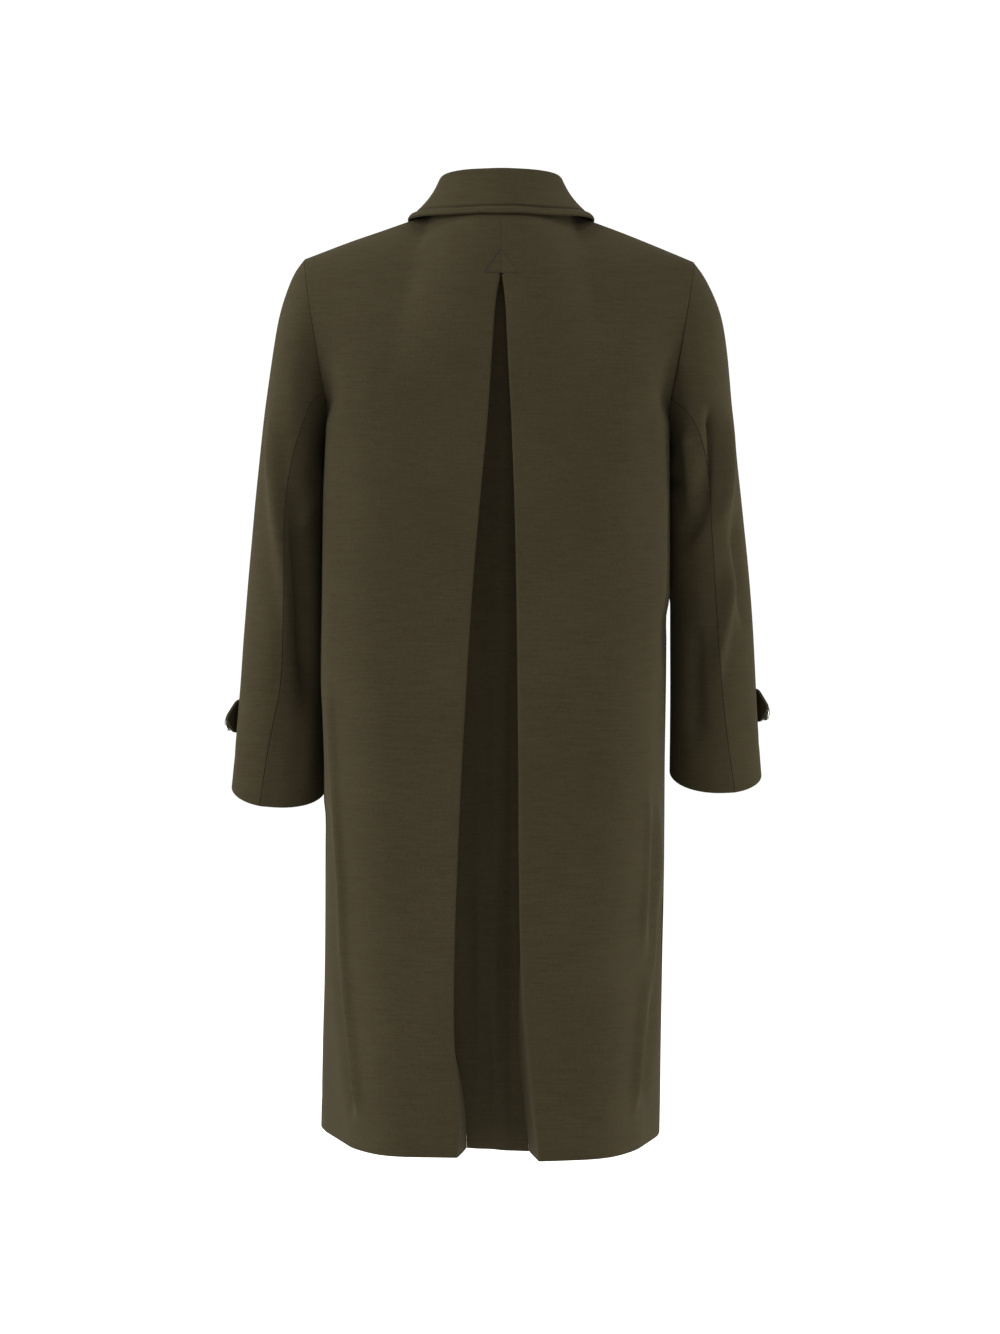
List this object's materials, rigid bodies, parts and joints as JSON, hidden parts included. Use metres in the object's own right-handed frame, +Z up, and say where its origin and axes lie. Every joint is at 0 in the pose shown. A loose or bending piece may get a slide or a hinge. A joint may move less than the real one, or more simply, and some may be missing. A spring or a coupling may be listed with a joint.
{
  "type": "loden coat",
  "caption": "Knee-length loden coat in its worn form, empty inside, with turned-down collar, set-in sleeves, pointed cuff tabs with buttons and a deep inverted pleat down the back.",
  "frame": {"origin": "middle of the neck opening, level with the nape seam, where the coat is held as worn", "axes": "+Z up along the coat, -Y the way the front faces, +X towards the wearer's left sleeve"},
  "size_m": [0.6391, 0.3596, 1.1184],
  "materials": {
    "loden": "fulled olive-brown wool loden with a short combed nap",
    "loden_underlay": "the same wool loden at the bottom of the pleat",
    "button_metal": "silver-coloured cast metal, softly polished"
  },
  "bodies": {
    "root": {"back_left": "loden", "back_right": "loden", "pleat_underlay": "loden_underlay", "front_left": "loden", "front_right": "loden", "sleeve_left_top": "loden", "sleeve_left_under": "loden", "sleeve_right_top": "loden", "sleeve_right_under": "loden", "collar_stand": "loden", "collar_fall": "loden", "cuff_tab_left": "loden", "cuff_tab_right": "loden", "cuff_button_left": "button_metal", "cuff_button_right": "button_metal", "front_button_1": "button_metal", "front_button_2": "button_metal", "front_button_3": "button_metal", "front_button_4": "button_metal"}
  },
  "joints": []
}
